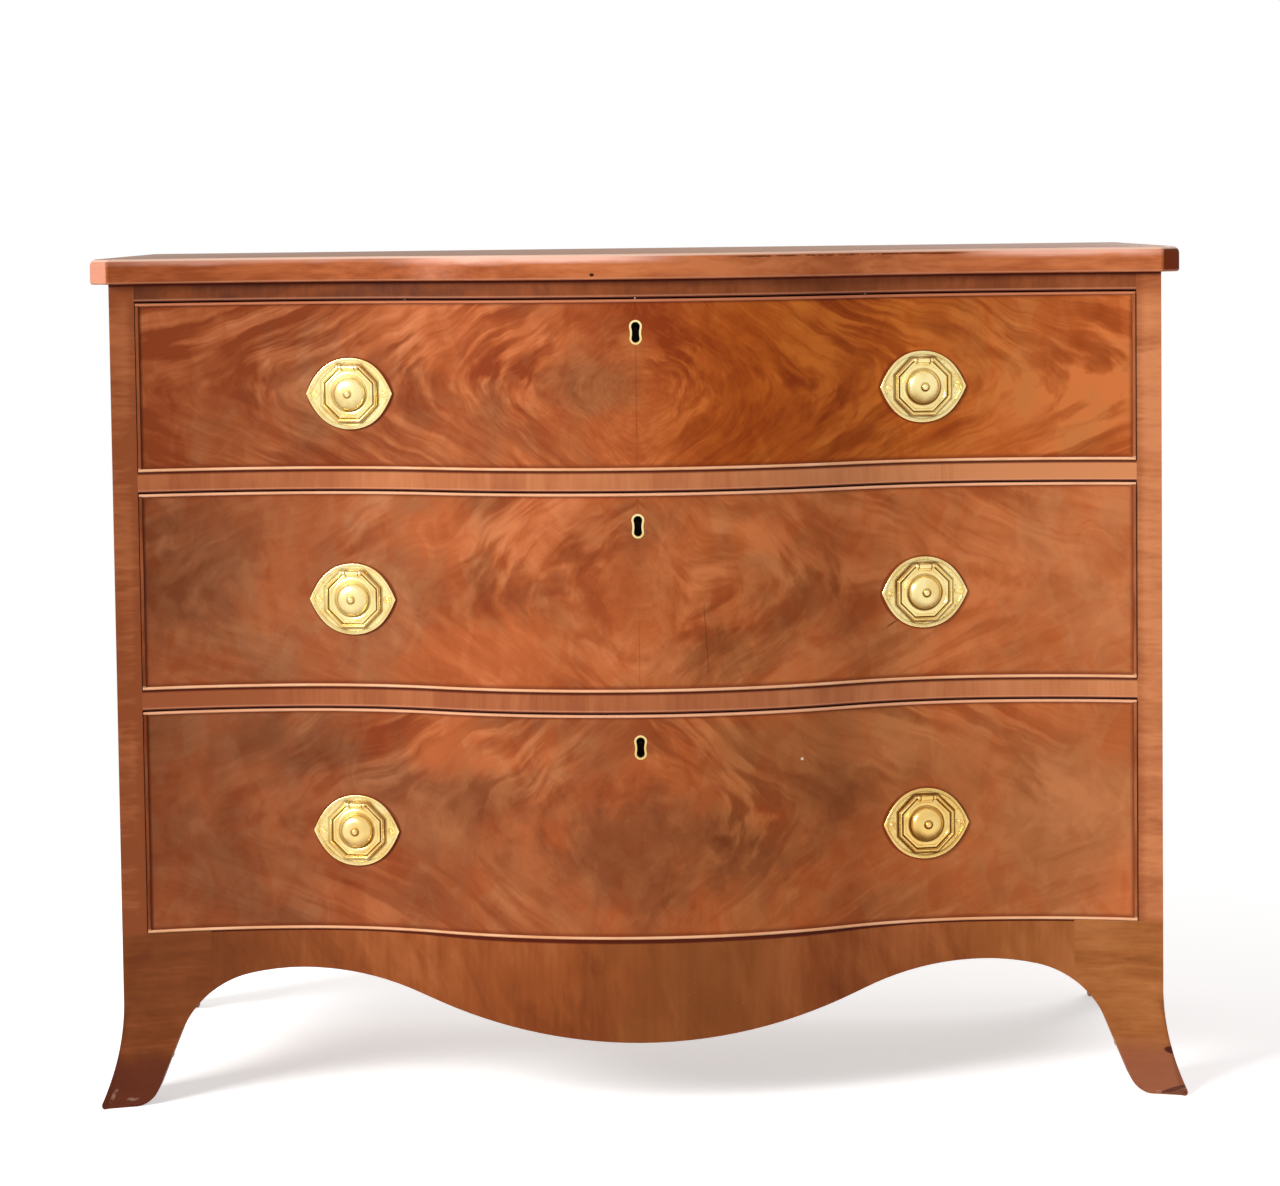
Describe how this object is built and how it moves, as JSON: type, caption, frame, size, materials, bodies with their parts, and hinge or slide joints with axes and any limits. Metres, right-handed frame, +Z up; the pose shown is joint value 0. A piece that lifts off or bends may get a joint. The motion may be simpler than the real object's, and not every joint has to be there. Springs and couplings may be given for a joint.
{
  "type": "serpentine chest of drawers",
  "caption": "Mahogany chest with a serpentine front, graduated cockbeaded drawers, brass ring handles, a shaped apron and splayed bracket feet.",
  "frame": {"origin": "centre of the footprint, on the floor under the feet", "axes": "+X to the right along the width, +Y to the back so the drawers face -Y, +Z up"},
  "size_m": [1.126, 0.5849, 0.876],
  "materials": {
    "flame_mahogany": "polished flame-figured mahogany veneer",
    "crossband": "polished straight-grained mahogany crossbanding",
    "bead_mahogany": "polished solid mahogany bead",
    "mahogany_top": "polished solid mahogany",
    "mahogany": "polished mahogany",
    "oak": "bare oak linings",
    "pine": "bare aged pine",
    "brass": "polished stamped brass",
    "lock_iron": "dull iron"
  },
  "bodies": {
    "carcass": {"top_board": "mahogany_top", "right_side": "mahogany", "left_side": "mahogany", "right_stile": "crossband", "left_stile": "crossband", "top_rail": "crossband", "upper_blade": "crossband", "lower_blade": "crossband", "back_rail": "pine", "upper_dust_board": "pine", "lower_dust_board": "pine", "bottom_board": "pine", "back_boards": "pine", "apron": "crossband", "right_front_foot": "mahogany", "left_front_foot": "mahogany", "right_back_foot": "mahogany", "left_back_foot": "mahogany", "glue_blocks": "pine", "guide_strips": "pine", "drawer_stops": "pine"},
    "upper_drawer": {"upper_front": "flame_mahogany", "upper_cockbead": "bead_mahogany", "upper_right_side": "oak", "upper_left_side": "oak", "upper_back": "oak", "upper_bottom": "oak", "upper_escutcheon": "brass", "upper_lock": "lock_iron", "upper_handle_plates": "brass", "upper_handle_posts": "brass"},
    "upper_right_ring": {"upper_right_ring": "brass"},
    "upper_left_ring": {"upper_left_ring": "brass"},
    "upper_lock_bolt": {"upper_lock_bolt": "lock_iron"},
    "middle_drawer": {"middle_front": "flame_mahogany", "middle_cockbead": "bead_mahogany", "middle_right_side": "oak", "middle_left_side": "oak", "middle_back": "oak", "middle_bottom": "oak", "middle_escutcheon": "brass", "middle_lock": "lock_iron", "middle_handle_plates": "brass", "middle_handle_posts": "brass"},
    "middle_right_ring": {"middle_right_ring": "brass"},
    "middle_left_ring": {"middle_left_ring": "brass"},
    "middle_lock_bolt": {"middle_lock_bolt": "lock_iron"},
    "lower_drawer": {"lower_front": "flame_mahogany", "lower_cockbead": "bead_mahogany", "lower_right_side": "oak", "lower_left_side": "oak", "lower_back": "oak", "lower_bottom": "oak", "lower_escutcheon": "brass", "lower_lock": "lock_iron", "lower_handle_plates": "brass", "lower_handle_posts": "brass"},
    "lower_right_ring": {"lower_right_ring": "brass"},
    "lower_left_ring": {"lower_left_ring": "brass"},
    "lower_lock_bolt": {"lower_lock_bolt": "lock_iron"}
  },
  "joints": [
    {"name": "upper_drawer_slide", "type": "slide", "parent": "carcass", "child": "upper_drawer", "axis": [0, -1, 0], "range_m": [0, 0.36]},
    {"name": "upper_right_ring_hinge", "type": "hinge", "parent": "upper_drawer", "child": "upper_right_ring", "pos_m": [0.29633, -0.20668, 0.76145], "axis": [-0.9774, -0.2116, 0], "range_deg": [0, 150]},
    {"name": "upper_left_ring_hinge", "type": "hinge", "parent": "upper_drawer", "child": "upper_left_ring", "pos_m": [-0.29633, -0.20668, 0.76145], "axis": [-0.9774, 0.2116, 0], "range_deg": [0, 150]},
    {"name": "upper_lock_bolt_slide", "type": "slide", "parent": "upper_drawer", "child": "upper_lock_bolt", "axis": [0, 0, 1], "range_m": [0, 0.009]},
    {"name": "middle_drawer_slide", "type": "slide", "parent": "carcass", "child": "middle_drawer", "axis": [0, -1, 0], "range_m": [0, 0.36]},
    {"name": "middle_right_ring_hinge", "type": "hinge", "parent": "middle_drawer", "child": "middle_right_ring", "pos_m": [0.29633, -0.20668, 0.54863], "axis": [-0.9774, -0.2116, 0], "range_deg": [0, 150]},
    {"name": "middle_left_ring_hinge", "type": "hinge", "parent": "middle_drawer", "child": "middle_left_ring", "pos_m": [-0.29633, -0.20668, 0.54863], "axis": [-0.9774, 0.2116, 0], "range_deg": [0, 150]},
    {"name": "middle_lock_bolt_slide", "type": "slide", "parent": "middle_drawer", "child": "middle_lock_bolt", "axis": [0, 0, 1], "range_m": [0, 0.009]},
    {"name": "lower_drawer_slide", "type": "slide", "parent": "carcass", "child": "lower_drawer", "axis": [0, -1, 0], "range_m": [0, 0.36]},
    {"name": "lower_right_ring_hinge", "type": "hinge", "parent": "lower_drawer", "child": "lower_right_ring", "pos_m": [0.29633, -0.20668, 0.30715], "axis": [-0.9774, -0.2116, 0], "range_deg": [0, 150]},
    {"name": "lower_left_ring_hinge", "type": "hinge", "parent": "lower_drawer", "child": "lower_left_ring", "pos_m": [-0.29633, -0.20668, 0.30715], "axis": [-0.9774, 0.2116, 0], "range_deg": [0, 150]},
    {"name": "lower_lock_bolt_slide", "type": "slide", "parent": "lower_drawer", "child": "lower_lock_bolt", "axis": [0, 0, 1], "range_m": [0, 0.009]}
  ]
}
